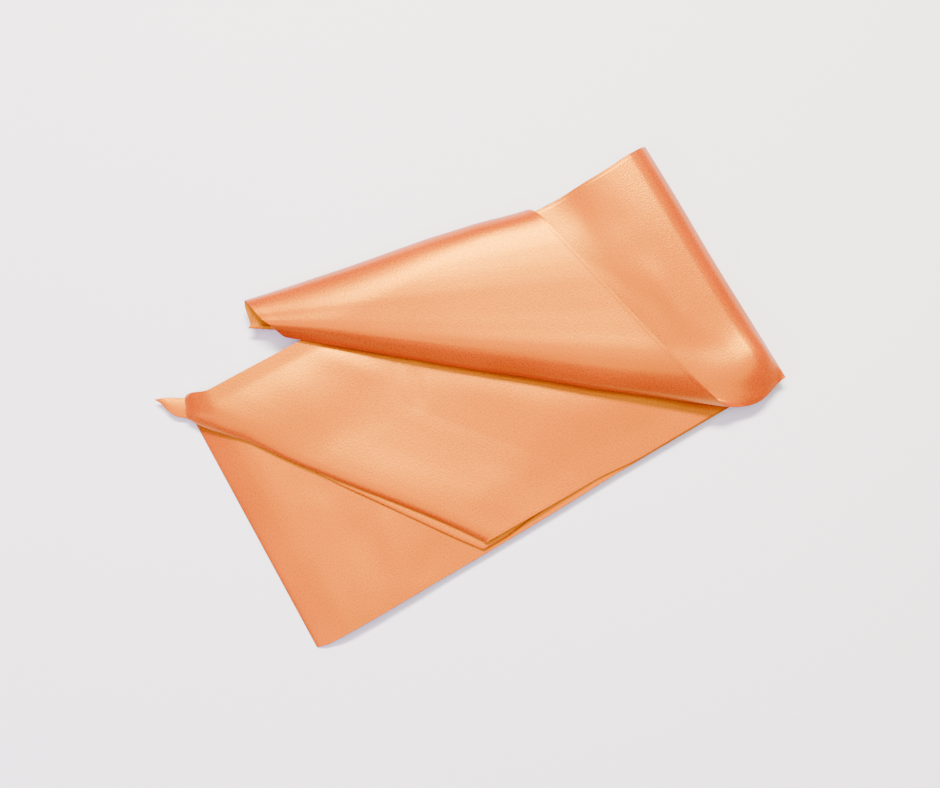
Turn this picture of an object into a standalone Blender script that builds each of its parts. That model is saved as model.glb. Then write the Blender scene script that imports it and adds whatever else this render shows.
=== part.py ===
# Satin sash folded back and forth into a flat pack, with one end turned back over the top
# and rolled into a long cone. Metres, +Z up, the pack lies on z = 0.
import math

import bmesh
import bpy
import numpy as np

# Cloth and layers
BAND_WIDTH = 0.152
WALL = 0.0010
GAP = 0.0003
STEP = WALL + GAP
CORE_HEIGHT = 0.0045
HALF_WIDTH = BAND_WIDTH / 2

# Middle heights of the layers, counted up from the hidden ones
Z_LOWER = CORE_HEIGHT + GAP + WALL / 2
Z_TUCKED = Z_LOWER + STEP
Z_MAIN = Z_TUCKED + STEP
Z_TURNED = Z_MAIN + STEP

# The part stands on the middle of its own box, this far from the middle of the pack
BOX_MIDDLE = (-0.00733, 0.01529)

# Hidden layers: how far each one is set in, and the shape of its two folded ends
CORE_INSETS = (0.0010, 0.0004, 0.0013, 0.0006, 0.0011)
CORE_NOTCH = 0.0004
CORE_LEFT = ((0.0, -0.1445), (0.0012, -0.1443), (0.0024, -0.1405), (0.0036, -0.1335), (0.0045, -0.1250))
CORE_RIGHT = ((0.0, 0.1436), (0.0012, 0.1438), (0.0024, 0.1425), (0.0036, 0.1395), (0.0045, 0.1340))
CORE_CORNER = 0.0030

# Lower stretch, from its right fold over the top to its soft left fold (x, z)
LOWER_PROFILE = (
    (0.1462, 0.0022), (0.1459, 0.0037), (0.1425, 0.0051), (0.1350, Z_LOWER), (0.0000, Z_LOWER),
    (-0.1000, Z_LOWER), (-0.1160, 0.0056), (-0.1270, 0.0057), (-0.1340, 0.0052), (-0.1400, 0.0040),
    (-0.1455, 0.0023), (-0.1490, 0.0010), (-0.1497, 0.0007),
)
LOWER_SLANT = -0.0004

# How far its lower selvedge bellies out (x, reach)
LOWER_BELLY = (
    (-0.1500, 0.0), (-0.1485, 0.0006), (-0.1440, 0.0019), (-0.1360, 0.0024), (-0.1120, 0.0026),
    (-0.0800, 0.0021), (-0.0420, 0.0017), (0.0, 0.0010), (0.0400, 0.0),
)

# Diagonal fold of the main stretch (y, x) and of the stretch tucked beneath it (y, x)
MAIN_FOLD = (
    (0.0752, -0.1466), (0.0730, -0.1486), (0.0700, -0.1506), (0.0668, -0.1524), (0.0650, -0.1509),
    (0.0619, -0.1482), (0.0558, -0.1432), (0.0492, -0.1373), (0.0398, -0.1286), (0.0297, -0.1212),
    (0.0203, -0.1145), (0.0065, -0.1038), (-0.0102, -0.0905), (-0.0299, -0.0746), (-0.0480, -0.0606),
    (-0.0639, -0.0493), (-0.0740, -0.0428),
)
TUCKED_FOLD = (
    (0.0070, -0.1046), (-0.0057, -0.0964), (-0.0195, -0.0865), (-0.0333, -0.0766), (-0.0470, -0.0668),
    (-0.0607, -0.0570), (-0.0678, -0.0517), (-0.0757, -0.0456),
)
TUCKED_DEPTH = 0.032
FOLD_SHEAR = 1.25

# Section across the diagonal fold, at its wide end and at its narrow end (inward, z)
FOLD_WIDE = (
    (0.0130, 0.0071), (0.0050, 0.0071), (0.0010, 0.0075), (0.0001, 0.0084), (0.0015, 0.0097),
    (0.0046, 0.0112), (0.0084, 0.0123), (0.0125, 0.0127), (0.0180, 0.0123), (0.0260, 0.0109),
    (0.0360, 0.0090), (0.0480, Z_MAIN),
)
FOLD_NARROW = (
    (0.0060, Z_MAIN), (0.0026, Z_MAIN), (0.0008, 0.0081), (0.0001, 0.0086), (0.0006, 0.0091),
    (0.0016, 0.0097), (0.0032, 0.0102), (0.0055, 0.0104), (0.0090, 0.0102), (0.0150, 0.0094),
    (0.0230, 0.0084), (0.0330, Z_MAIN),
)
MAIN_END = 0.1300
SELVEDGE_INSET = 0.0022

# Its upper left corner pokes past the long edge and droops
CORNER_REACH = 0.0044
CORNER_DROOP = 0.0020

# Corner that sticks out of the open end of the diagonal fold: two edges and the height
TIP_UPPER = ((-0.1628, 0.0870), (-0.1588, 0.0855), (-0.1550, 0.0838), (-0.1512, 0.0815), (-0.1485, 0.0797))
TIP_LOWER = ((-0.1629, 0.0864), (-0.1612, 0.0832), (-0.1599, 0.0786), (-0.1578, 0.0740), (-0.1543, 0.0699))
TIP_HEIGHT = (0.0044, 0.0052, 0.0060, 0.0066, 0.0068)
TIP_ARCH = 0.0009
TIP_BOW = (0.0006, -0.0004)

# Turned stretch: flat on the pack, up over the soft right fold and back beneath it (x, z)
TURN_PROFILE = (
    (-0.0850, Z_TURNED), (0.0600, Z_TURNED), (0.0950, 0.0094), (0.1080, 0.0106), (0.1190, 0.0132),
    (0.1290, 0.0150), (0.1380, 0.0145), (0.1440, 0.0126), (0.1467, 0.0104), (0.1452, 0.0087),
    (0.1405, 0.0080), (0.1304, Z_MAIN),
)
TURN_TOP_POINTS = 8
RIDGE_RISE = 0.0018
RIDGE_Y = -0.048
RIDGE_SPREAD = 0.015
EDGE_FALL = (0.9, 0.054, 0.079)
FOLD_SLANT = 0.0013
BULGE = 0.0044
BULGE_RANGE = (0.1060, 0.1475)

# How far its upper selvedge is drawn in or out (x, shift)
UPPER_EDGE = (
    (0.0400, 0.0), (0.0600, -0.0012), (0.0770, -0.0016), (0.0880, -0.0010), (0.0990, -0.0005),
    (0.1240, -0.0006), (0.1300, 0.0), (0.1380, 0.0004), (0.1475, 0.0014),
)

# Rolled flap: a cone about one point of the plan. Each row is the angle below +X in degrees,
# and the heights above the turned stretch at the two distances from that point
APEX = (-0.1343, 0.1169)
APEX_TO_LEFT = APEX[1] - HALF_WIDTH
APEX_TO_RIGHT = APEX[1] + HALF_WIDTH
SEAM_ANGLE = 36.6
SEAM_GAP = 0.0006
ROLL_NEAR = 0.050
ROLL_FAR = 0.280
ROLL_MIDDLE = 0.180
ROLL_SECTION = (
    (36.60, 0.0000, 0.0000), (37.25, 0.0003, 0.0005), (37.90, 0.0012, 0.0028), (38.05, 0.0023, 0.0050),
    (37.85, 0.0033, 0.0074), (37.30, 0.0046, 0.0104), (36.40, 0.0061, 0.0136), (35.40, 0.0075, 0.0159),
    (34.20, 0.0088, 0.0172), (33.00, 0.0097, 0.0176), (31.00, 0.0107, 0.0173), (28.00, 0.0116, 0.0172),
    (25.00, 0.0121, 0.0178), (22.50, 0.0121, 0.0182), (19.60, 0.0115, 0.0180), (16.70, 0.0104, 0.0173),
    (15.00, 0.0094, 0.0163), (13.00, 0.0074, 0.0139), (12.00, 0.0059, 0.0115), (11.30, 0.0046, 0.0086),
    (11.00, 0.0036, 0.0062), (11.25, 0.0026, 0.0040), (12.40, 0.0019, 0.0026), (15.00, 0.0015, 0.0020),
    (20.00, 0.0015, 0.0020), (27.00, 0.0015, 0.0020), (33.00, 0.0020, 0.0030), (34.20, 0.0030, 0.0052),
    (33.20, 0.0040, 0.0072), (31.00, 0.0044, 0.0078),
)
ROLL_DRIFT = 0.0019
ROLL_TUCK = 0.0026
OVERHANG_SAG = 0.0042
PINCH = 0.0040
LOWER_SWELL = 0.0011

# How far the flap's upper fold stands out, by the distance from the apex (reach, shift)
UPPER_SWELL = ((0.0440, 0.0017), (0.0700, 0.0013), (0.1000, 0.0013), (0.1500, 0.0021), (0.1850, 0.0015), (0.2050, 0.0010))

# How finely the sheets are divided, and how the top ones crowd toward their lower selvedge
CROWDING = 1.4
ROLL_ROWS = 19
ROLL_STEPS = 84
TURN_ROWS = 21
TURN_STEPS = 34
MAIN_ROWS = 23
MAIN_STEPS = 32
LOWER_ROWS = 9
LOWER_STEPS = 34


# Slopes at the rows of a table that never let the curve swing past its own rows
def knot_slopes(knots, place):
    span = np.diff(place)[:, None]
    secant = np.diff(knots, axis=0) / span
    near, far = secant[:-1], secant[1:]
    before, after = span[:-1], span[1:]
    product = near * far
    safe = np.where(product > 0, product, 1.0)
    weight_near = 2 * after + before
    weight_far = after + 2 * before
    middle = (weight_near + weight_far) * safe / (weight_near * far + weight_far * near + (product <= 0))
    middle = np.where(product > 0, middle, 0.0)
    return np.vstack((secant[:1], middle, secant[-1:]))


# Smooth curve through a short table, as many close points; the last column is the length so far
def dense_curve(table, columns=2, pieces=24):
    knots = np.array(table, float)
    chord = np.linalg.norm(np.diff(knots[:, :columns], axis=0), axis=1)
    place = np.concatenate(([0.0], np.cumsum(chord)))
    slope = knot_slopes(knots, place)
    points = []
    for k in range(len(knots) - 1):
        span = place[k + 1] - place[k]
        for t in np.linspace(0, 1, pieces, endpoint=False):
            start = (1 + 2 * t) * (1 - t) ** 2
            leave = t * (1 - t) ** 2 * span
            finish = t * t * (3 - 2 * t)
            arrive = t * t * (t - 1) * span
            points.append(start * knots[k] + leave * slope[k] + finish * knots[k + 1] + arrive * slope[k + 1])
    points.append(knots[-1])
    points = np.array(points)
    step = np.linalg.norm(np.diff(points[:, :columns], axis=0), axis=1)
    length = np.concatenate(([0.0], np.cumsum(step)))
    return np.column_stack((points, length))


# Points along a dense curve, closer together where it bends
def spaced(curve, count, bend=1.0):
    step = np.diff(curve[:, :2], axis=0)
    size = np.hypot(step[:, 0], step[:, 1])
    heading = np.unwrap(np.arctan2(step[:, 1], step[:, 0]))
    turning = np.abs(np.gradient(heading))
    measure = size / size.sum() + bend * turning / turning.sum()
    reach = np.concatenate(([0.0], np.cumsum(measure)))
    wanted = np.linspace(0, reach[-1], count)
    return np.column_stack([np.interp(wanted, reach, column) for column in curve.T])


# Value of a (place, value) table, smooth between its rows
def table_value(table, place):
    curve = dense_curve(table)
    order = np.argsort(curve[:, 0])
    return float(np.interp(place, curve[order, 0], curve[order, 1]))


def ease(value, start, end):
    t = min(max((value - start) / (end - start), 0.0), 1.0)
    return t * t * (3 - 2 * t)


def plain_material(name, colour):
    material = bpy.data.materials.new(name)
    material.use_nodes = True
    shader = material.node_tree.nodes["Principled BSDF"]
    shader.inputs["Base Color"].default_value = (*colour, 1.0)
    shader.inputs["Roughness"].default_value = 0.38
    material.diffuse_color = (*colour, 1.0)
    return material


def add_object(name, working_mesh, colour):
    mesh = bpy.data.meshes.new(name)
    bmesh.ops.translate(working_mesh, vec=(-BOX_MIDDLE[0], -BOX_MIDDLE[1], 0.0), verts=working_mesh.verts)
    working_mesh.to_mesh(mesh)
    working_mesh.free()
    item = bpy.data.objects.new(name, mesh)
    mesh.materials.append(plain_material(name + "_satin", colour))
    sash.objects.link(item)
    return item


# Cloth through rows of points, given its wall by the Solidify modifier
def add_sheet(name, rows, colour):
    working_mesh = bmesh.new()
    grid = [[working_mesh.verts.new(point) for point in row] for row in rows]
    for near, far in zip(grid, grid[1:]):
        for k in range(len(near) - 1):
            working_mesh.faces.new((near[k], near[k + 1], far[k + 1], far[k]))
    item = add_object(name, working_mesh, colour)
    wall = item.modifiers.new("Cloth wall", "SOLIDIFY")
    wall.thickness = WALL
    wall.offset = 0.0
    wall.use_even_offset = True
    wall.use_quality_normals = True
    return item


# Hidden layers: one closed body of stacked rounded outlines
def build_hidden_layers():
    layer = CORE_HEIGHT / len(CORE_INSETS)
    outlines = []
    for k, inset in enumerate(CORE_INSETS):
        for part, notch in ((0.02, CORE_NOTCH), (0.25, 0.0), (0.75, 0.0), (0.98, CORE_NOTCH)):
            outlines.append((layer * (k + part), inset + notch))
    outlines[0] = (0.0, outlines[0][1])
    outlines[-1] = (CORE_HEIGHT, outlines[-1][1])
    working_mesh = bmesh.new()
    rings = []
    for height, inset in outlines:
        left = np.interp(height, *zip(*CORE_LEFT)) + inset
        right = np.interp(height, *zip(*CORE_RIGHT)) - inset
        side = HALF_WIDTH - inset
        ring = []
        for cx, cy, first in ((right, side, 0), (left, side, 90), (left, -side, 180), (right, -side, 270)):
            middle_x = cx - math.copysign(CORE_CORNER, cx)
            middle_y = cy - math.copysign(CORE_CORNER, cy)
            for turn in range(5):
                angle = math.radians(first + turn * 22.5)
                ring.append(working_mesh.verts.new((
                    middle_x + CORE_CORNER * math.cos(angle),
                    middle_y + CORE_CORNER * math.sin(angle),
                    height,
                )))
        rings.append(ring)
    for below, above in zip(rings, rings[1:]):
        for k in range(len(below)):
            after = (k + 1) % len(below)
            working_mesh.faces.new((below[k], below[after], above[after], above[k]))
    working_mesh.faces.new(list(reversed(rings[0])))
    working_mesh.faces.new(rings[-1])
    add_object("hidden_layers", working_mesh, (0.80, 0.42, 0.22))


def build_lower_stretch():
    line = spaced(dense_curve(LOWER_PROFILE), LOWER_STEPS)
    rows = []
    for y in np.linspace(HALF_WIDTH, -HALF_WIDTH, LOWER_ROWS):
        slant = LOWER_SLANT * y / BAND_WIDTH
        row = []
        for x, z, _ in line:
            belly = np.interp(x, *zip(*LOWER_BELLY)) * ease(-y, 0.0, HALF_WIDTH)
            row.append((x + slant * ease(-x, 0.090, 0.140), y - belly, z))
        rows.append(row)
    add_sheet("lower_stretch", rows, (0.90, 0.48, 0.25))


def build_tucked_stretch():
    rows = []
    for y in np.linspace(TUCKED_FOLD[0][0], TUCKED_FOLD[-1][0], 12):
        edge = -table_value([(-a, -b) for a, b in TUCKED_FOLD], -y)
        rows.append([(edge + step, y, Z_TUCKED) for step in np.linspace(0, TUCKED_DEPTH, 6)])
    add_sheet("tucked_stretch", rows, (0.86, 0.44, 0.24))


def build_main_stretch():
    wide = spaced(dense_curve(FOLD_WIDE), MAIN_STEPS - 8)
    narrow = spaced(dense_curve(FOLD_NARROW), MAIN_STEPS - 8)
    rows = []
    for y in np.linspace(MAIN_FOLD[0][0], -HALF_WIDTH, MAIN_ROWS):
        edge = -table_value([(-a, -b) for a, b in MAIN_FOLD], -max(y, MAIN_FOLD[-1][0]))
        narrowing = ease(-y, -0.060, -0.012)
        row = []
        for (wide_in, wide_z, _), (narrow_in, narrow_z, _) in zip(wide, narrow):
            inward = wide_in + (narrow_in - wide_in) * narrowing
            row.append((edge + inward * FOLD_SHEAR, wide_z + (narrow_z - wide_z) * narrowing))
        row += [(x, Z_MAIN) for x in np.linspace(row[-1][0], MAIN_END, 9)[1:]]
        share = (MAIN_FOLD[0][0] - y) / (MAIN_FOLD[0][0] + HALF_WIDTH)
        placed = []
        for x, z in row:
            inset = share ** 4 * SELVEDGE_INSET * (1 - ease(x, 0.026, 0.056))
            poke = CORNER_REACH * ease(-x, 0.133, 0.146) * ease(y, 0.060, 0.075)
            placed.append((x, y + inset + poke, z - CORNER_DROOP * ease(-x, 0.134, 0.152)))
        rows.append(placed)
    add_sheet("main_stretch", rows, (0.93, 0.52, 0.28))


def build_corner_tip():
    steps = 12
    upper = spaced(dense_curve(TIP_UPPER), steps, 0.0)
    lower = spaced(dense_curve(TIP_LOWER), steps, 0.0)
    heights = np.interp(np.linspace(0, 1, steps), np.linspace(0, 1, len(TIP_HEIGHT)), TIP_HEIGHT)
    rows = []
    for k in range(steps):
        row = []
        for t in np.linspace(0, 1, 7):
            arch = TIP_ARCH * math.sin(math.pi * t) * min(1.0, k / 4)
            bow = math.sin(math.pi * t) * (k / (steps - 1)) ** 3
            x = upper[k][0] + (lower[k][0] - upper[k][0]) * t + TIP_BOW[0] * bow
            y = upper[k][1] + (lower[k][1] - upper[k][1]) * t + TIP_BOW[1] * bow
            row.append((x, y, heights[k] + arch))
        rows.append(row)
    add_sheet("corner_tip", rows, (0.93, 0.55, 0.32))


turn_curve = dense_curve(TURN_PROFILE)
turn_top = turn_curve[: (TURN_TOP_POINTS - 1) * 24]


# The top stretch comes down again at its lower selvedge: the share of its rise that is left
def fall(y):
    return 1 - EDGE_FALL[0] * ease(-y, EDGE_FALL[1], EDGE_FALL[2])


# How far the top stretch lifts off the pack toward its right fold, and along one soft ridge
def lift(x, y, weight=1.0):
    rise = (np.interp(x, turn_top[:, 0], turn_top[:, 1]) - Z_TURNED) * fall(y)
    ridge = RIDGE_RISE * math.exp(-((y - RIDGE_Y) / RIDGE_SPREAD) ** 2) * ease(x, 0.085, 0.125)
    return rise, ridge * weight


# Sideways pull on the top stretch: its lower selvedge bellies out beside the right fold, the
# flap's two long folds swell a little, and the left end of the lower one is pinched toward the apex
def pull(x, y):
    swell = 0.0
    if BULGE_RANGE[0] < x < BULGE_RANGE[1]:
        swell = math.sin(math.pi * (x - BULGE_RANGE[0]) / (BULGE_RANGE[1] - BULGE_RANGE[0])) ** 2
    shift = -BULGE * swell * ease(-y, 0.035, 0.076)
    shift += np.interp(x, *zip(*UPPER_EDGE)) * ease(y, 0.030, 0.076)
    reach = math.hypot(x - APEX[0], APEX[1] - y)
    angle = math.degrees(math.atan2(APEX[1] - y, x - APEX[0]))
    shift += np.interp(reach, *zip(*UPPER_SWELL)) * (1 - ease(angle, 13, 22)) * (1 - ease(x, 0.072, 0.084))
    shift -= LOWER_SWELL * ease(reach, 0.190, 0.240) * ease(angle, 33, 37.5) * (1 - ease(x, 0.104, 0.114))
    return shift + PINCH * (1 - ease(reach, 0.050, 0.190)) * ease(angle, 25, 37)


def build_turned_stretch():
    rows = []
    slope = math.tan(math.radians(SEAM_ANGLE))
    for y in BAND_WIDTH * np.linspace(1, 0, TURN_ROWS) ** CROWDING - HALF_WIDTH:
        seam = APEX[0] + (APEX[1] - y) / slope + SEAM_GAP / math.sin(math.radians(SEAM_ANGLE))
        begin = np.interp(seam, turn_top[:, 0], turn_top[:, -1])
        part = turn_curve[turn_curve[:, -1] > begin + 0.0004]
        first = np.array([[seam, np.interp(seam, turn_top[:, 0], turn_top[:, 1]), begin]])
        row = []
        for x, z, _ in spaced(np.vstack((first, part)), TURN_STEPS, 1.4):
            _, ridge = lift(x, y, ease(z, Z_MAIN, 0.0125))
            height = Z_TURNED + (z - Z_TURNED) * fall(y) if z > Z_TURNED else z
            slant = FOLD_SLANT * ease(y, -0.020, 0.076) * ease(x, 0.118, 0.145)
            row.append((x + slant, y + pull(x, y), height + ridge))
        rows.append(row)
    add_sheet("turned_stretch", rows, (0.94, 0.50, 0.26))


# One point of the cone, from its section and its distance to the apex
def cone_point(section, reach):
    angle, near, far = section
    x = APEX[0] + reach * math.cos(angle)
    y = APEX[1] - reach * math.sin(angle)
    rise, ridge = lift(x, y)
    sag = OVERHANG_SAG * ease(y, 0.070, 0.112)
    height = near + (far - near) * (reach - ROLL_NEAR) / (ROLL_FAR - ROLL_NEAR)
    return (x, y + pull(x, y), Z_TURNED + height + rise + ridge - sag)


def build_rolled_flap():
    table = []
    for angle, near, far in ROLL_SECTION:
        middle = near + (far - near) * (ROLL_MIDDLE - ROLL_NEAR) / (ROLL_FAR - ROLL_NEAR)
        table.append((math.radians(angle), middle / ROLL_MIDDLE, near, far))
    rows = []
    for angle, _, near, far, length in spaced(dense_curve(table), ROLL_STEPS, 1.3):
        flat_angle = math.radians(SEAM_ANGLE) + length
        drift = ROLL_DRIFT * ease(length, 0.0, 0.25) * (1 - ease(length, 0.55, 0.90))
        tuck = ROLL_TUCK * ease(length, 0.62, 0.95)
        left = (APEX_TO_LEFT - drift + tuck) / math.sin(flat_angle)
        right = APEX_TO_RIGHT / math.sin(flat_angle)
        reaches = right - (right - left) * np.linspace(1, 0, ROLL_ROWS) ** CROWDING
        rows.append([cone_point((angle, near, far), reach) for reach in reaches])
    add_sheet("rolled_flap", rows, (0.96, 0.53, 0.28))


for item in list(bpy.data.objects):
    bpy.data.objects.remove(item, do_unlink=True)
sash = bpy.data.collections.new("satin_sash")
bpy.context.scene.collection.children.link(sash)

build_hidden_layers()
build_lower_stretch()
build_tucked_stretch()
build_main_stretch()
build_corner_tip()
build_turned_stretch()
build_rolled_flap()
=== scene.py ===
# Peach satin sash, folded into a flat pack with one end rolled back over the top.
import math

import bmesh
import bpy
import numpy as np
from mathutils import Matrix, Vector


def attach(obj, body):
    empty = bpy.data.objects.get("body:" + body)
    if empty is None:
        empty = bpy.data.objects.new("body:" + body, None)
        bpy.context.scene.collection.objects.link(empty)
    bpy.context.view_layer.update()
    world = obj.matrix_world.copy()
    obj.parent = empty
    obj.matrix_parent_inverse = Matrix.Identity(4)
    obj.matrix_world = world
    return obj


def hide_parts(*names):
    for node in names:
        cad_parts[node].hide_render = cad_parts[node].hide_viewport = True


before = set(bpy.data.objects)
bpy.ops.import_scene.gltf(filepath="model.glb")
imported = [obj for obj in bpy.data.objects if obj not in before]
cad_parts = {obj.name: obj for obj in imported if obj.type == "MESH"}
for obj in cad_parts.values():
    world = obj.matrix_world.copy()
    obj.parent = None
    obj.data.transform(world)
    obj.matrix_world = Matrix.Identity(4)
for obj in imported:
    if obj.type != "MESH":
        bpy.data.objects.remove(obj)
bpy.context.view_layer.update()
print("stage: frame loaded")

mm = 0.001

band = {
    "width": 152,
    "shell": 0.36,  # satin with its dressing
    "layerStep": 1.3,
    "lowerHeight": 5.3,
    "hemWidth": 1.9,
    "hemRise": 0.06,
    "boxMiddle": (-7.33, 15.29),  # from the pack's middle to the middle of its box
}
halfWidth = band["width"] / 2
zLower = band["lowerHeight"]
zTucked = zLower + band["layerStep"]
zMain = zTucked + band["layerStep"]
zTurned = zMain + band["layerStep"]


def ease(value, start, end):
    t = np.clip((np.asarray(value, float) - start) / (end - start), 0.0, 1.0)
    return t * t * (3 - 2 * t)


curvePieces = 24  # short runs between two rows of a curve's table


def smoothThrough(table, pieces=curvePieces):
    # a curve through a table's rows that never swings past them; the last column is the length so far
    knots = np.array(table, float)
    chord = np.linalg.norm(np.diff(knots[:, :2], axis=0), axis=1)
    span = chord[:, None]
    secant = np.diff(knots, axis=0) / span
    near, far = secant[:-1], secant[1:]
    product = near * far
    nearWeight = 2 * span[1:] + span[:-1]
    farWeight = span[1:] + 2 * span[:-1]
    safe = np.where(product > 0, product, 1.0)
    middle = (nearWeight + farWeight) * safe / (nearWeight * far + farWeight * near + (product <= 0))
    slope = np.vstack((secant[:1], np.where(product > 0, middle, 0.0), secant[-1:]))
    points = []
    for k in range(len(knots) - 1):
        for t in np.linspace(0, 1, pieces, endpoint=False):
            points.append(
                (1 + 2 * t) * (1 - t) ** 2 * knots[k]
                + t * (1 - t) ** 2 * span[k] * slope[k]
                + t * t * (3 - 2 * t) * knots[k + 1]
                + t * t * (t - 1) * span[k] * slope[k + 1]
            )
    points.append(knots[-1])
    points = np.array(points)
    step = np.linalg.norm(np.diff(points[:, :2], axis=0), axis=1)
    return np.column_stack((points, np.concatenate(([0.0], np.cumsum(step)))))


def spacedAlong(curve, count, bend=0.8):
    # points of a curve, closer together where it bends
    step = np.diff(curve[:, :2], axis=0)
    size = np.hypot(step[:, 0], step[:, 1]) + 1e-9
    turning = np.abs(np.gradient(np.unwrap(np.arctan2(step[:, 1], step[:, 0]))))
    turning = np.convolve(turning, np.ones(9) / 9, mode="same")
    reach = np.concatenate(([0.0], np.cumsum(size / size.sum() + bend * turning / turning.sum())))
    wanted = np.linspace(0, reach[-1], count)
    return np.column_stack([np.interp(wanted, reach, column) for column in curve.T])


def rowsWithHems(count, half=halfWidth):
    # places across the band, with close rows where the hems are
    hem = band["hemWidth"]
    edge = np.array([0.0, 0.25, 0.7, hem - 0.5, hem - 0.1, hem + 0.25, hem + 0.7])
    inner = np.linspace(hem + 1.6, 2 * half - hem - 1.6, count)
    return half - np.concatenate((edge, inner, 2 * half - edge[::-1]))


def alongNormal(points, amount):
    # moves each point of a grid along the grid's own normal
    down = np.gradient(points, axis=0)
    along = np.gradient(points, axis=1)
    normal = np.cross(down, along)
    normal /= np.linalg.norm(normal, axis=2, keepdims=True) + 1e-12
    return points + normal * amount[..., None]


def hemLift(across, share=1.0):
    # a narrow turned hem stands proud of the cloth along both long edges
    rise = share * band["hemRise"]
    fromEdge = halfWidth - np.abs(across)
    return rise * (1 - ease(fromEdge, band["hemWidth"] - 0.15, band["hemWidth"] + 0.2))


def creaseLift(x, y, table):
    # each row: one end, the other end, half width and height, all in millimetres
    lift = np.zeros(np.broadcast(x, y).shape)
    for x0, y0, x1, y1, half, height in table:
        length = math.hypot(x1 - x0, y1 - y0)
        ax, ay = (x1 - x0) / length, (y1 - y0) / length
        down = (x - x0) * ax + (y - y0) * ay
        side = (y - y0) * ax - (x - x0) * ay
        fade = ease(down, -0.25 * length, 0.3 * length) * (1 - ease(down, 0.7 * length, 1.25 * length))
        lift += height * np.exp(-((side / half) ** 2)) * fade
    return lift


def slackLift(x, y, seed, size, height):
    # loose cloth is never quite flat: a few slow waves that cross each other
    lift = np.zeros(np.broadcast(x, y).shape)
    for k in range(5):
        angle = seed * 1.7 + k * 2.399
        stretch = size * (0.8 + 0.27 * k)
        phase = seed * 3.1 + k * 1.9
        wave = np.sin(2 * math.pi * (x * math.cos(angle) + y * math.sin(angle)) / stretch + phase)
        lift += wave / (1 + 0.5 * k)
    return lift * height / 2.6


def fromHex(colour):
    channels = [int(colour[k : k + 2], 16) / 255 for k in (0, 2, 4)]
    linear = [c / 12.92 if c <= 0.04045 else ((c + 0.055) / 1.055) ** 2.4 for c in channels]
    return (*linear, 1.0)


def addNode(tree, kind, settings=None, inputs=None):
    node = tree.nodes.new(kind)
    for name, value in (settings or {}).items():
        setattr(node, name, value)
    for name, value in (inputs or {}).items():
        if isinstance(value, bpy.types.NodeSocket):
            tree.links.new(value, node.inputs[name])
        else:
            node.inputs[name].default_value = value
    return node


# the colours and the gloss of the cloth
satinLook = {
    "deep": "9E3400",
    "mid": "AA3C00",
    "pale": "B84700",
    "roughness": 0.31,
    "roughnessSpread": (-0.05, 0.06),
    "grainSize": 0.9,  # mm, drawn coarser than the real 0.2 mm floats so that it shows
    "warpPitch": 0.8,  # mm, coarser than the real threads for the same reason
    "floatsPerMetre": 90.0,  # floats about 11 mm long, far longer than real ones, so that they show
    "patchesPerMetre": 22.0,  # slow unevenness of the dye, about 45 mm across
    "patchShare": 0.35,
    "relief": 0.42,
    "reliefDepth": 0.0002,  # m, a thread's thickness
    "floatShare": 0.12,
    "ior": 1.76,  # higher than polyester's 1.6, matched to the gloss in the photo
    "glossTint": "FFB000",
    "drawnOut": 0.3,
    "grazing": (0.45, 0.85, 0.05),  # where the gloss begins to fade edge on, where it ends, its rest
    "sheen": 0.008,
    "sheenRoughness": 0.3,
    "sheenTint": "D878D8",
}


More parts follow.
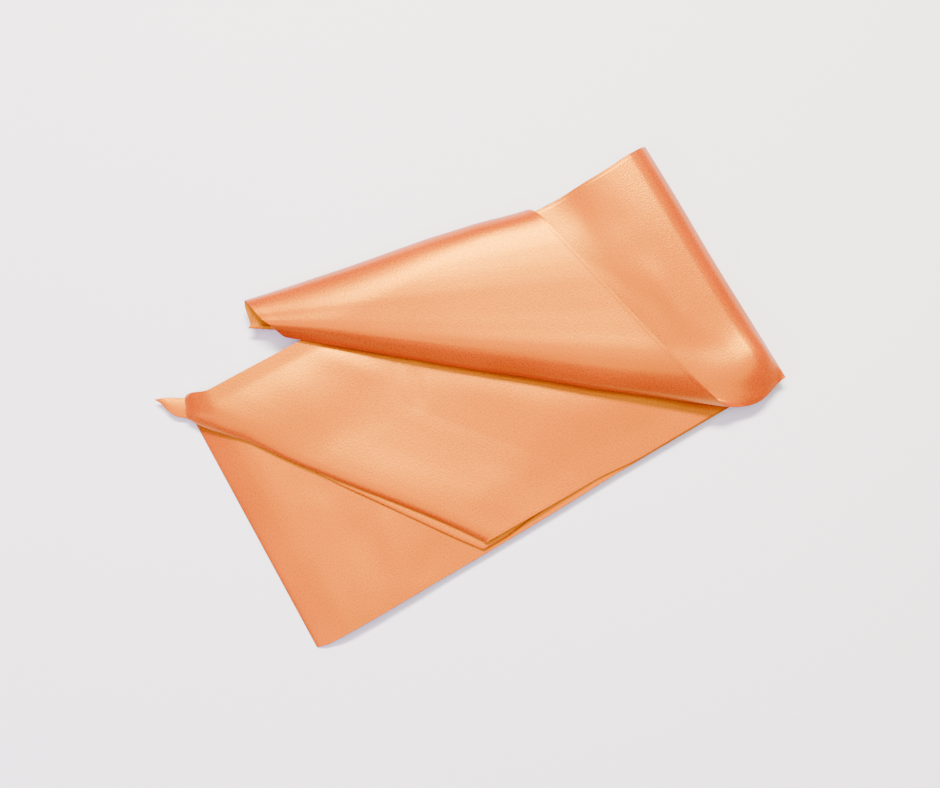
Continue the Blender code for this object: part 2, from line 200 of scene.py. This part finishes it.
def makeSatin(name, look):
    # polyester satin: long floats of bright yarn over a dull back, woven, heat-set and pressed.
    # It gives a broad soft gloss drawn out across the yarn, and a fine mottled grain.
    material = bpy.data.materials.new(name)
    material.use_nodes = True
    tree = material.node_tree
    tree.nodes.clear()
    output = addNode(tree, "ShaderNodeOutputMaterial")
    clothMap = addNode(tree, "ShaderNodeUVMap", {"uv_map": "clothMap"})
    grain = addNode(
        tree,
        "ShaderNodeTexNoise",
        {"noise_dimensions": "2D"},
        {
            "Vector": clothMap.outputs["UV"],
            "Scale": 1000 / look["grainSize"],
            "Detail": 2.5,
            "Roughness": 0.6,
        },
    )
    patches = addNode(
        tree,
        "ShaderNodeTexNoise",
        {"noise_dimensions": "2D"},
        {
            "Vector": clothMap.outputs["UV"],
            "Scale": look["patchesPerMetre"],
            "Detail": 2.0,
            "Roughness": 0.5,
        },
    )
    stretched = addNode(
        tree,
        "ShaderNodeMapping",
        inputs={
            "Vector": clothMap.outputs["UV"],
            "Scale": (look["floatsPerMetre"], 1000 / look["warpPitch"], 1.0),
        },
    )
    floats = addNode(
        tree,
        "ShaderNodeTexNoise",
        {"noise_dimensions": "2D"},
        {"Vector": stretched.outputs["Vector"], "Scale": 1.0, "Detail": 2.0},
    )
    mottling = addNode(
        tree,
        "ShaderNodeMix",
        {"data_type": "FLOAT"},
        {0: look["patchShare"], 2: grain.outputs["Fac"], 3: patches.outputs["Fac"]},
    )
    colour = addNode(tree, "ShaderNodeValToRGB", inputs={"Fac": mottling.outputs[0]})
    colour.color_ramp.elements[0].position = 0.34
    colour.color_ramp.elements[0].color = fromHex(look["deep"])
    colour.color_ramp.elements[1].position = 0.68
    colour.color_ramp.elements[1].color = fromHex(look["pale"])
    middle = colour.color_ramp.elements.new(0.5)
    middle.color = fromHex(look["mid"])
    roughness = addNode(
        tree,
        "ShaderNodeMapRange",
        inputs={
            "Value": grain.outputs["Fac"],
            "From Min": 0.3,
            "From Max": 0.7,
            "To Min": look["roughness"] + look["roughnessSpread"][0],
            "To Max": look["roughness"] + look["roughnessSpread"][1],
        },
    )
    relief = addNode(
        tree,
        "ShaderNodeMix",
        {"data_type": "FLOAT"},
        {0: look["floatShare"], 2: grain.outputs["Fac"], 3: floats.outputs["Fac"]},
    )
    bump = addNode(
        tree,
        "ShaderNodeBump",
        inputs={
            "Strength": look["relief"],
            "Distance": look["reliefDepth"],
            "Height": relief.outputs[0],
        },
    )
    facing = addNode(tree, "ShaderNodeLayerWeight", inputs={"Blend": 0.5})
    fadeFrom, fadeTo, left = look["grazing"]
    gloss = addNode(  # fibres break up the mirror that a smooth film would show edge on
        tree,
        "ShaderNodeMapRange",
        inputs={
            "Value": facing.outputs["Facing"],
            "From Min": fadeFrom,
            "From Max": fadeTo,
            "To Min": 1.0,
            "To Max": left,
        },
    )
    tangent = addNode(tree, "ShaderNodeTangent", {"direction_type": "UV_MAP", "uv_map": "clothMap"})
    shader = addNode(
        tree,
        "ShaderNodeBsdfPrincipled",
        inputs={
            "Base Color": colour.outputs["Color"],
            "Roughness": roughness.outputs["Result"],
            "IOR": look["ior"],
            "Specular IOR Level": gloss.outputs["Result"],
            "Specular Tint": fromHex(look["glossTint"]),
            "Anisotropic": look["drawnOut"],
            "Sheen Weight": look["sheen"],
            "Sheen Roughness": look["sheenRoughness"],
            "Sheen Tint": fromHex(look["sheenTint"]),
            "Normal": bump.outputs["Normal"],
            "Tangent": tangent.outputs["Tangent"],
        },
    )
    tree.links.new(shader.outputs["BSDF"], output.inputs["Surface"])
    return material


peachSatin = makeSatin("peachSatin", satinLook)
print("stage: satin made")


def addObject(name, work, material):
    mesh = bpy.data.meshes.new(name)
    bmesh.ops.translate(work, vec=(-band["boxMiddle"][0], -band["boxMiddle"][1], 0), verts=work.verts)
    bmesh.ops.scale(work, vec=(mm, mm, mm), verts=work.verts)
    for face in work.faces:
        face.smooth = True
    work.to_mesh(mesh)
    work.free()
    mesh.materials.append(material)
    piece = bpy.data.objects.new(name, mesh)
    bpy.context.scene.collection.objects.link(piece)
    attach(piece, "root")
    return piece


def layCloth(name, points, flat, material=peachSatin):
    # a woven grid is laid through the points; its map is the flat strip's own millimetres
    rows, columns = points.shape[:2]
    work = bmesh.new()
    bmesh.ops.create_grid(work, x_segments=columns - 1, y_segments=rows - 1, size=1.0)
    clothMap = work.loops.layers.uv.new("clothMap")
    place = {}
    for vert in work.verts:
        row = round((vert.co.y + 1) / 2 * (rows - 1))
        column = round((vert.co.x + 1) / 2 * (columns - 1))
        place[vert] = (row, column)
        vert.co = points[place[vert]]
    for face in work.faces:
        for loop in face.loops:
            loop[clothMap].uv = flat[place[loop.vert]] * mm
    piece = addObject(name, work, material)
    shell = piece.modifiers.new("Shell", "SOLIDIFY")
    shell.thickness = band["shell"] * mm
    shell.offset = 0.0
    shell.use_even_offset = False
    return piece


# where the camera, the lamps and the backdrop stand, as in the photo
studio = {
    "azimuth": -29.66,
    "elevation": 80.57,
    "distance": 700,
    "target": (-8.9, 3.7),
    "lens": 47.88,
    "floor": "F1F0EE",
    "world": "E9ECF2",
    "worldStrength": 0.22,
}
lamps = {  # bearing, lean, distance, width, height, watts, colour
    "keySoftbox": (-3, 30, 1.6, 0.85, 0.26, 98, "FFF6EC"),
    "overheadSoftbox": (-160, 9, 1.8, 1.9, 1.8, 45, "FFFAF4"),
    "leftGlow": (-125, 50, 1.3, 0.6, 0.45, 14, "A890FF"),
}


def placeCamera():
    turn, tilt = math.radians(studio["azimuth"]), math.radians(studio["elevation"])
    back = Vector((math.sin(turn) * math.cos(tilt), -math.cos(turn) * math.cos(tilt), math.sin(tilt)))
    aimX = studio["target"][0] - band["boxMiddle"][0]
    aimY = studio["target"][1] - band["boxMiddle"][1]
    target = Vector((aimX, aimY, 0)) * mm
    lens = bpy.data.cameras.new("photoCamera")
    lens.sensor_width = 36
    lens.lens = studio["lens"]
    lens.clip_start = 0.05
    camera = bpy.data.objects.new("photoCamera", lens)
    camera.location = target + back * studio["distance"] * mm
    camera.rotation_euler = (-back).to_track_quat("-Z", "Y").to_euler()
    bpy.context.scene.collection.objects.link(camera)
    bpy.context.scene.camera = camera


def addSoftbox(name, bearing, lean, distance, width, height, power, colour):
    # bearing is measured from the top of the photo, clockwise; lean is from straight up; all in metres
    turn = math.radians(bearing - studio["azimuth"])
    lean = math.radians(lean)
    away = Vector((math.sin(turn) * math.sin(lean), math.cos(turn) * math.sin(lean), math.cos(lean)))
    lamp = bpy.data.lights.new(name, "AREA")
    lamp.shape = "RECTANGLE"
    lamp.size = width
    lamp.size_y = height
    lamp.energy = power
    lamp.color = fromHex(colour)[:3]
    box = bpy.data.objects.new(name, lamp)
    box.location = away * distance
    box.rotation_euler = away.to_track_quat("Z", "Y").to_euler()
    bpy.context.scene.collection.objects.link(box)


def setStage():
    placeCamera()
    for name, settings in lamps.items():
        addSoftbox(name, *settings)
    world = bpy.data.worlds.new("studioWorld")
    world.use_nodes = True
    background = world.node_tree.nodes["Background"]
    background.inputs["Color"].default_value = fromHex(studio["world"])
    background.inputs["Strength"].default_value = studio["worldStrength"]
    bpy.context.scene.world = world
    work = bmesh.new()
    bmesh.ops.create_grid(work, x_segments=1, y_segments=1, size=3.0)
    mesh = bpy.data.meshes.new("floor")
    work.to_mesh(mesh)
    work.free()
    floor = bpy.data.objects.new("floor", mesh)
    # bleached pulp pressed into a roll and left uncoated, so it is pale, even and without gloss
    paper = bpy.data.materials.new("matteBackdropPaper")
    paper.use_nodes = True
    shader = paper.node_tree.nodes["Principled BSDF"]
    shader.inputs["Base Color"].default_value = fromHex(studio["floor"])
    shader.inputs["Roughness"].default_value = 0.9
    shader.inputs["Specular IOR Level"].default_value = 0.2
    mesh.materials.append(paper)
    bpy.context.scene.collection.objects.link(floor)


setStage()
print("stage: camera, lights and floor set")

# the folds beneath, which show only at their edges
hiddenFolds = {
    "profile": (  # five layers folded to and fro, from the top one down to the table (x, height)
        (128.0, 4.0), (0.0, 4.0), (-124.0, 4.0), (-128.5, 3.85), (-129.6, 3.5), (-128.5, 3.2),
        (-124.0, 3.05), (0.0, 3.05), (131.0, 3.05), (135.0, 2.9), (136.0, 2.58), (135.0, 2.25),
        (131.0, 2.1), (0.0, 2.1), (-133.0, 2.1), (-137.0, 1.95), (-138.0, 1.62), (-137.0, 1.3),
        (-133.0, 1.15), (0.0, 1.15), (134.0, 1.15), (137.5, 1.0), (138.4, 0.68), (137.5, 0.35),
        (134.0, 0.2), (0.0, 0.2), (-143.0, 0.2),
    ),
    "inset": (1.0, 0.4, 1.3, 0.6, 1.1),  # how far each layer stands back at the long sides
    "wander": 0.5,
    "drawn": 1.2,  # how far the lower edges are drawn in towards the right fold
}


def makeHiddenLayers():
    line = spacedAlong(smoothThrough(hiddenFolds["profile"]), 330)
    across = rowsWithHems(40)
    heights = np.linspace(4.0, 0.2, len(hiddenFolds["inset"]))
    inset = np.interp(-line[:, 1], -heights, hiddenFolds["inset"])
    wander = hiddenFolds["wander"] * np.sin(across[:, None] / 23 + line[None, :, 1] * 2)
    x = np.tile(line[:, 0], (len(across), 1)) + wander
    drawn = hiddenFolds["drawn"] * ease(x, -30, 130) * ease(-across[:, None], 40, 76)
    y = across[:, None] * (1 - inset[None, :] / halfWidth) + drawn
    z = np.tile(line[:, 1], (len(across), 1))
    points = np.stack((x, y, z), axis=2)
    along = np.tile(line[:, -1], (len(across), 1))
    flat = np.stack((along, np.tile(across[:, None], (1, len(line)))), axis=2)
    piece = layCloth("hiddenLayers", points, flat)
    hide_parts("hidden_layers")
    return piece


# the lowest stretch that shows, with the soft fold that is the pack's left end
lower = {
    "profile": (  # from beneath the right fold, over the top, to the soft left fold (x, height)
        (141.5, 0.35), (144.2, 0.55), (145.8, 1.3), (146.3, 2.5), (145.6, 4.0), (142.5, 5.1),
        (135.0, 5.3), (0.0, 5.3), (-100.0, 5.3), (-116.0, 5.7), (-127.0, 5.7), (-134.0, 5.2),
        (-140.0, 4.0), (-145.5, 2.3), (-149.0, 0.9), (-149.8, 0.3),
    ),
    "slant": -0.4,
    "raised": 1.0,  # the lower left part rises a little towards its long edge
    "drawn": 1.3,  # how far the lower edge is drawn in towards the right fold
    "belly": (  # how far the lower edge bulges out (x, shift)
        (-150, 0.0), (-148.5, 0.6), (-144, 1.9), (-136, 2.4), (-112, 2.6), (-80, 2.1), (-42, 1.7),
        (0, 1.0), (40, 0.0),
    ),
    "hemShare": 0.35,
    "waves": (62, 0.16),  # how long and how high the slow waves are
    "creases": (
        (-83, -30, -91, -56, 5.0, -0.45), (-98, -28, -100, -60, 8.0, 0.3),
        (-124, -60, -112, -20, 7.0, 0.3), (-66, -58, -84, -70, 6.0, 0.3), (-118, 10, -100, -8, 8.0, 0.3),
    ),
}


def makeLowerStretch():
    line = spacedAlong(smoothThrough(lower["profile"]), 190)
    across = rowsWithHems(74)
    x = np.tile(line[:, 0], (len(across), 1))
    y = np.tile(across[:, None], (1, len(line)))
    z = np.tile(line[:, 1], (len(across), 1))
    flat = np.stack((146.2 - np.tile(line[:, -1], (len(across), 1)), y), axis=2)
    bellyX, bellySize = zip(*lower["belly"])
    belly = np.interp(x, bellyX, bellySize) * ease(-y, 0, halfWidth)
    placeX = x + lower["slant"] * y / band["width"] * ease(-x, 90, 140)
    drawn = lower["drawn"] * ease(x, -30, 130) * ease(-y, 40, 76)
    z = z + lower["raised"] * ease(-y, 30, 76) * ease(-x, 62, 92) * (1 - ease(-x, 128, 142))
    points = np.stack((placeX, y - belly + drawn, z), axis=2)
    loose = ease(-x, 20, 60) * (1 - ease(-x, 138, 146))
    lift = creaseLift(x, y, lower["creases"]) * loose + slackLift(x, y, 1, *lower["waves"]) * loose
    lift = lift + hemLift(y, lower["hemShare"])
    points = alongNormal(points, lift)
    piece = layCloth("lowerStretch", points, flat)
    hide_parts("lower_stretch")
    return piece


slantRun = 1.25  # along the pack, a step straight in from a diagonal fold is this much longer

# the strip that shows beneath the diagonal fold
tucked = {
    "fold": (  # (y, x) along the diagonal
        (7.0, -104.6), (-5.7, -96.4), (-19.5, -86.5), (-33.3, -76.6), (-47.0, -66.8), (-60.7, -57.0),
        (-67.8, -51.7), (-75.7, -45.6),
    ),
    "section": (  # inward from the fold, height
        (9.0, 5.75), (1.2, 5.75), (0.25, 5.95), (0.1, 6.25), (0.4, 6.6), (1.5, 6.85), (4.0, 6.75),
        (9.0, 6.6), (31.0, 6.6),
    ),
    "drawn": 2.4,  # how far its lower end is drawn in beneath the main stretch
    "run": 0.083,  # m, along the fold
}


def makeTuckedStretch():
    edge = smoothThrough([(-y, x) for y, x in tucked["fold"]])
    across = np.linspace(tucked["fold"][0][0], tucked["fold"][-1][0], 70)
    foldX = np.interp(-across, edge[:, 0], edge[:, 1])
    section = spacedAlong(smoothThrough(tucked["section"]), 60)
    x = foldX[:, None] + section[None, :, 0] * slantRun
    drawn = tucked["drawn"] * ease(section[None, :, 0], 9, 31) * ease(-across[:, None], 55, 75.7)
    y = across[:, None] + drawn
    z = np.tile(section[:, 1], (len(across), 1))
    closing = ease(-across, -7.0, 12.0)[:, None]  # the fold grows out of the layers at its upper end
    middle = 6.25
    z = middle + (z - middle) * (0.35 + 0.65 * closing)
    points = np.stack((x, y, z), axis=2)
    flat = np.stack((np.tile(section[:, -1], (len(across), 1)), y), axis=2)
    piece = layCloth("tuckedStretch", points, flat)
    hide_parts("tucked_stretch")
    return piece


# the stretch in the middle, rolled under along its diagonal
mainPiece = {
    "fold": (  # (y, x) along the diagonal
        (75.2, -146.6), (73.0, -148.6), (70.0, -150.6), (66.8, -152.4), (65.0, -150.9), (61.9, -148.2),
        (55.8, -143.2), (49.2, -137.3), (39.8, -128.6), (29.7, -121.2), (20.3, -114.5), (6.5, -103.8),
        (-10.2, -90.5), (-29.9, -74.6), (-48.0, -60.6), (-63.9, -49.3), (-74.0, -42.8),
    ),
    "wide": (  # inward from the fold, height: at the upper end, where the roll is open
        (13.0, 6.1), (5.0, 6.1), (1.0, 6.5), (0.1, 7.6), (1.4, 9.2), (4.6, 11.1), (8.4, 12.2),
        (12.5, 12.5), (20.0, 12.2), (32.0, 11.5), (48.0, 10.5), (64.0, 9.3), (78.0, 8.3), (88.0, 7.9),
    ),
    "narrow": (  # and at the lower end, where it is nearly flat
        (6.0, 7.3), (2.6, 7.3), (0.7, 7.6), (0.1, 8.2), (0.6, 8.9), (1.6, 9.6), (3.2, 10.1),
        (5.5, 10.3), (10.0, 10.2), (18.0, 9.8), (30.0, 9.0), (42.0, 8.3), (48.0, 8.1), (54.0, 7.9),
    ),
    "top": 75.2,
    "end": 130.0,
    "inset": 2.2,  # how far the lower edge stands back by the diagonal
    "drawn": 1.5,  # and towards the right fold
    "cornerReach": 4.4,  # how far the upper left corner pokes past the long edge
    "cornerDroop": 2.0,
    "settle": 0.45,
    "edgeSink": 1.1,  # past the tucked stretch, its lower edge settles on the layer below
    "cornerCreases": ((-152, 75, -141, 73.5, 1.5, -0.7), (-150, 70.5, -138, 66, 2.6, 0.45)),
    "creases": (
        (-72, 66, -47, 36, 7.0, -0.3), (-29, 31, -37, 10, 3.5, 0.28), (-94, 60, -86, 26, 9.0, -0.2),
        (-14, 20, 34, -42, 12.0, -0.3), (-70, 5, -30, -40, 11.0, 0.2), (20, -34, 70, -64, 10.0, 0.2),
        (-50, 50, 96, -64, 8.0, 0.3),
    ),
    "hemShare": 0.35,
    "waves": (70, 0.15),
}


def makeMainStretch():
    edge = smoothThrough([(-y, x) for y, x in mainPiece["fold"]])
    wide = spacedAlong(smoothThrough(mainPiece["wide"]), 96)
    narrow = spacedAlong(smoothThrough(mainPiece["narrow"]), 96)
    across = rowsWithHems(86)
    across = across * mainPiece["top"] / halfWidth
    foldX = np.interp(-np.maximum(across, -74.0), edge[:, 0], edge[:, 1])
    share = ease(-across, -60, -12)[:, None]
    inward = wide[None, :, 0] + (narrow[None, :, 0] - wide[None, :, 0]) * share
    height = wide[None, :, 1] + (narrow[None, :, 1] - wide[None, :, 1]) * share
    length = wide[None, :, -1] + (narrow[None, :, -1] - wide[None, :, -1]) * share
    rollX = foldX[:, None] + inward * slantRun
    run = np.linspace(0, 1, 130)[1:]
    restX = rollX[:, -1:] + (mainPiece["end"] - rollX[:, -1:]) * run[None, :]
    x = np.hstack((rollX, restX))
    z = np.hstack((height, np.full(restX.shape, zMain)))
    flatX = np.hstack((rollX[:, -1:] - (length[:, -1:] - length) * slantRun, restX))
    y = np.tile(across[:, None], (1, x.shape[1]))
    part = (mainPiece["top"] - y) / (mainPiece["top"] + halfWidth)
    inset = mainPiece["inset"] * (1 - ease(x, 26, 56)) + mainPiece["drawn"] * ease(x, -10, 130)
    placeY = y + part**4 * inset
    placeY = placeY + mainPiece["cornerReach"] * ease(-x, 133, 146) * ease(y, 60, 75)
    z = z - mainPiece["cornerDroop"] * ease(-x, 134, 152)
    pastFold = x - foldX[:, None]
    z = z - mainPiece["settle"] * ease(pastFold, 2, 20) * ease(-y, 48, 72) * (1 - ease(x, -24, 12))
    z = z - mainPiece["edgeSink"] * ease(x, -22, 30) * (1 - ease(x, 100, 122)) * ease(-y, 34, 64)
    points = np.stack((x, placeY, z), axis=2)
    loose = ease(pastFold, 6, 30) * (1 - ease(x, 112, 128))
    uneven = creaseLift(x, y, mainPiece["creases"]) + slackLift(x, y, 2, *mainPiece["waves"])
    lift = -uneven * loose - hemLift(y, mainPiece["hemShare"])
    lift = lift - creaseLift(x, y, mainPiece["cornerCreases"])
    points = alongNormal(points, lift)
    piece = layCloth("mainStretch", points, np.stack((flatX, y), axis=2))
    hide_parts("main_stretch")
    return piece


# the point that sticks out of the rolled edge, from its tip to beneath the main stretch
tip = {
    "upper": (
        (-163.0, 87.1), (-158.8, 85.5), (-155.0, 83.7), (-151.4, 81.4), (-147.6, 79.6), (-143.5, 77.6),
    ),
    "lower": (
        (-163.1, 86.7), (-161.2, 83.4), (-159.9, 78.6), (-158.0, 74.0), (-152.8, 69.2), (-147.5, 65.5),
    ),
    "height": (4.4, 4.6, 4.5, 4.1, 3.6, 3.3),
    "arch": 0.3,
}


def makeCornerTip():
    steps, cross = 40, 24
    upper = spacedAlong(smoothThrough(tip["upper"]), steps, 0.0)
    lowerRail = spacedAlong(smoothThrough(tip["lower"]), steps, 0.0)
    knots = np.linspace(0, 1, len(tip["height"]))
    height = np.interp(np.linspace(0, 1, steps), knots, tip["height"])
    t = np.linspace(0, 1, cross)[None, :]
    x = upper[:, None, 0] + (lowerRail[:, None, 0] - upper[:, None, 0]) * t
    y = upper[:, None, 1] + (lowerRail[:, None, 1] - upper[:, None, 1]) * t
    opening = np.minimum(1, np.arange(steps)[:, None] / 12)
    z = height[:, None] + tip["arch"] * np.sin(math.pi * t) * opening
    points = np.stack((x, y, z), axis=2)
    piece = layCloth("cornerTip", points, np.stack((x, y), axis=2))
    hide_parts("corner_tip")
    return piece


# the stretch that comes round the right fold, and the roll that it ends in
turned = {
    "profile": (  # flat on the pack, up over the soft right fold and back beneath it (x, height)
        (-85.0, 9.2), (60.0, 9.2), (84.0, 9.4), (92.0, 9.9), (100.0, 10.9), (110.0, 12.3), (120.0, 13.8),
        (129.5, 15.2), (134.5, 15.6), (138.5, 15.0), (142.0, 13.4), (144.6, 11.3), (146.5, 9.2),
        (147.2, 7.9), (146.0, 6.7), (142.5, 6.5), (136.0, 7.2), (130.4, 7.9),
    ),
    "topRows": 8,  # the profile's rows up to the crest by the right fold
    "ridge": (2.7, -59.0, 14.0),  # height, place across, spread
    "edgeFall": (54.0, 24.0, 1.5),  # where the lower edge bends down, over what width, how far
    "edgeDrop": 1.6,  # and how much farther it hangs beside the right fold
    "lift": (3.5, -24.0, 76.0),  # the sheet climbs towards its upper long edge
    "liftRun": (80, 106, 114, 140),  # where the climb starts, is full, begins to fade and has faded
    "bulge": (4.4, 106.0, 147.5),
    "slant": 1.3,
    "waves": (80, 0.12),
    "upperEdge": (  # how far the upper long edge is drawn in or out (x, shift)
        (40, 0.0), (60, -1.2), (77, -1.6), (88, -1.2), (99, -1.1), (112, -1.3), (124, -0.9),
        (130, -0.1), (138, 0.4), (147.5, 1.4),
    ),
    "creases": (
        (74, 58, 104, 2, 15.0, -0.5), (92, 70, 112, 40, 10.0, 0.4), (112, 16, 115, -28, 5.5, -0.8),
        (96, -26, 124, -46, 7.0, 0.3), (84, 40, 106, -8, 4.5, 0.2),
    ),
}
roll = {
    "apex": (-134.3, 116.9),
    "seam": 36.6,
    "section": (  # angle below the pack's long side, height 50 mm and 280 mm from the apex
        (36.60, 0.0, 0.0), (37.25, 0.3, 0.5), (37.90, 1.2, 2.8), (38.05, 2.3, 5.0), (37.85, 3.3, 7.4),
        (37.30, 4.6, 10.4), (36.40, 6.4, 13.6), (35.40, 8.2, 15.9), (34.20, 9.8, 17.2),
        (33.00, 10.7, 17.5), (31.00, 11.4, 17.3), (29.00, 11.8, 17.3), (26.00, 12.1, 17.7),
        (23.00, 12.4, 18.2), (20.50, 12.3, 18.4), (18.40, 11.9, 18.4), (16.70, 11.3, 18.2),
        (15.20, 10.5, 17.8), (14.00, 9.6, 17.1), (13.00, 8.5, 15.9), (12.20, 7.2, 14.0),
        (11.60, 6.2, 11.4), (11.20, 5.3, 8.4), (11.00, 4.6, 5.4), (11.30, 4.1, 3.6), (12.40, 3.8, 2.6),
        (15.00, 3.3, 2.0), (20.00, 2.6, 2.0), (27.00, 1.7, 2.0), (33.00, 1.2, 3.0), (34.20, 1.6, 5.2),
        (33.20, 2.1, 7.2), (31.00, 2.5, 7.8),
    ),
    "drift": 1.9,  # how far the mouth's upper layer leans out
    "sag": 4.2,  # the roll sinks where it overhangs the pack
    "tuck": 2.1,  # how far the layer beneath stands back at the mouth
    "endTuck": 2.0,
    "pinch": 4.0,  # how far the narrow end's lower side is drawn in
    "lowerSwell": 1.1,  # and how far the wide end's swells out
    "upperSwell": ((44, 1.7), (70, 1.3), (100, 1.3), (150, 2.1), (185, 1.5), (205, 1.0)),
}
turnLine = smoothThrough(turned["profile"])
turnTop = turnLine[: (turned["topRows"] - 1) * curvePieces]


def edgeFall(y):
    # how much of the sheet's height is left at a place across the band: a quarter round, cut short
    start, width, share = turned["edgeFall"]
    cutShort = 0.925
    return 1 - share * (1 - np.sqrt(1 - np.clip((-y - start) / width, 0, cutShort) ** 2))


def ridgeLift(x, y):
    height, place, spread = turned["ridge"]
    return height * np.exp(-(((y - place) / spread) ** 2)) * ease(x, 98, 128) * edgeFall(y)


def layLift(x, y):
    height, start, end = turned["lift"]
    rise, full, fade, faded = turned["liftRun"]
    climb = np.clip((y - start) / (end - start), 0, 1) ** 1.15
    return height * climb * ease(x, rise, full) * (1 - ease(x, fade, faded) * 0.8)


def pullAcross(x, y):
    # sideways pull on the top stretch: a belly by the right fold, and a pinch at the flap's left end
    size, start, end = turned["bulge"]
    inside = (x > start) & (x < end)
    swell = np.where(inside, np.sin(math.pi * (x - start) / (end - start)) ** 2, 0.0)
    shift = -size * swell * ease(-y, 35, 76)
    shift = shift + np.interp(x, *zip(*turned["upperEdge"])) * ease(y, 30, 76)
    reach = np.hypot(x - roll["apex"][0], roll["apex"][1] - y)
    angle = np.degrees(np.arctan2(roll["apex"][1] - y, x - roll["apex"][0]))
    upper = np.interp(reach, *zip(*roll["upperSwell"]))
    shift = shift + upper * (1 - ease(angle, 13, 22)) * (1 - ease(x, 72, 84))
    lowerSide = ease(angle, 33, 37.5) * (1 - ease(x, 104, 114))
    shift = shift - roll["lowerSwell"] * ease(reach, 190, 240) * lowerSide
    return shift + roll["pinch"] * (1 - ease(reach, 50, 190)) * ease(angle, 25, 37)


def makeTopStretch():
    apexX, apexY = roll["apex"]
    toLeft, toRight = apexY - halfWidth, apexY + halfWidth
    seam = math.radians(roll["seam"])
    nearReach, farReach, middleReach = 50, 280, 180.0
    table = []
    for angle, narrow, wide in roll["section"]:
        middle = narrow + (wide - narrow) * (middleReach - nearReach) / (farReach - nearReach)
        table.append((math.radians(angle), middle / middleReach, narrow, wide))
    section = spacedAlong(smoothThrough(table), 236, 1.0)[::-1]
    across = rowsWithHems(70)
    share = (halfWidth - across) / band["width"]
    # the cone, from its hidden end to the seam
    flatAngle = seam + section[:, -1]
    turnedBy = section[:, -1]
    drift = roll["drift"] * ease(turnedBy, 0, 0.25) * (1 - ease(turnedBy, 0.55, 0.9))
    tuck = roll["tuck"] * ease(turnedBy, 0.62, 0.95) + roll["endTuck"] * ease(turnedBy, 0.95, 1.06)
    left = (toLeft - drift + tuck) / np.sin(flatAngle)
    right = toRight / np.sin(flatAngle)
    reach = left[None, :] + (right - left)[None, :] * share[:, None]
    x = apexX + reach * np.cos(section[None, :, 0])
    y = apexY - reach * np.sin(section[None, :, 0])
    growth = (reach - nearReach) / (farReach - nearReach)
    height = section[None, :, 2] + (section[None, :, 3] - section[None, :, 2]) * growth
    rise = (np.interp(x, turnTop[:, 0], turnTop[:, 1]) - zTurned) * edgeFall(y)
    z = zTurned + height + rise + ridgeLift(x, y) - roll["sag"] * ease(y, 70, 112)
    cone = np.stack((x, y + pullAcross(x, y), z), axis=2)
    coneFlat = np.stack(
        (apexX + reach * np.cos(flatAngle), apexY - reach * np.sin(flatAngle)), axis=2
    )
    # flat on the pack and round the right fold
    flatRows = []
    turnRows = []
    for place in across:
        seamX = apexX + (apexY - place) / math.tan(seam)
        begin = np.interp(seamX, turnTop[:, 0], turnTop[:, -1])
        first = np.array([[seamX, np.interp(seamX, turnTop[:, 0], turnTop[:, 1]), begin]])
        rest = turnLine[turnLine[:, -1] > begin + 0.3]
        line = spacedAlong(np.vstack((first, rest)), 132, 1.0)[1:]
        fall = edgeFall(place)
        upperFace = ease(line[:, 1], zMain, 12.5)
        lineZ = np.where(line[:, 1] > zTurned, zTurned + (line[:, 1] - zTurned) * fall, line[:, 1])
        lineZ = lineZ + (ridgeLift(line[:, 0], place) + layLift(line[:, 0], place)) * upperFace
        drop = turned["edgeDrop"] * ease(-place, 58, 77) * ease(line[:, 0] - seamX, 0, 15)
        lineZ = lineZ - drop * upperFace
        slant = turned["slant"] * ease(place, -20, 76) * ease(line[:, 0], 118, 145)
        lineY = place + pullAcross(line[:, 0], place)
        turnRows.append(np.stack((line[:, 0] + slant, lineY, lineZ), axis=1))
        lineFlat = line[:, 2] + turned["profile"][0][0]
        flatRows.append(np.stack((lineFlat, np.full(len(line), place)), axis=1))
    lay = np.array(turnRows)
    points = np.concatenate((cone, lay), axis=1)
    flat = np.concatenate((coneFlat, np.array(flatRows)), axis=1)
    isLay = np.concatenate((np.zeros(cone.shape[:2]), np.ones(lay.shape[:2])), axis=1)
    plainX, plainY = points[..., 0], points[..., 1]
    crease = creaseLift(plainX, plainY, turned["creases"]) * (1 - ease(plainX, 128, 140))
    crease = crease * ease(plainX, 40, 70)
    lift = isLay * crease + slackLift(flat[..., 0], flat[..., 1], 3, *turned["waves"])
    lift = lift + hemLift(flat[..., 1])
    points = alongNormal(points, -lift)
    piece = layCloth("topStretch", points, flat)
    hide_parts("turned_stretch", "rolled_flap")
    return piece


makeHiddenLayers()
makeLowerStretch()
makeTuckedStretch()
makeMainStretch()
makeCornerTip()
makeTopStretch()
print("stage: cloth laid")
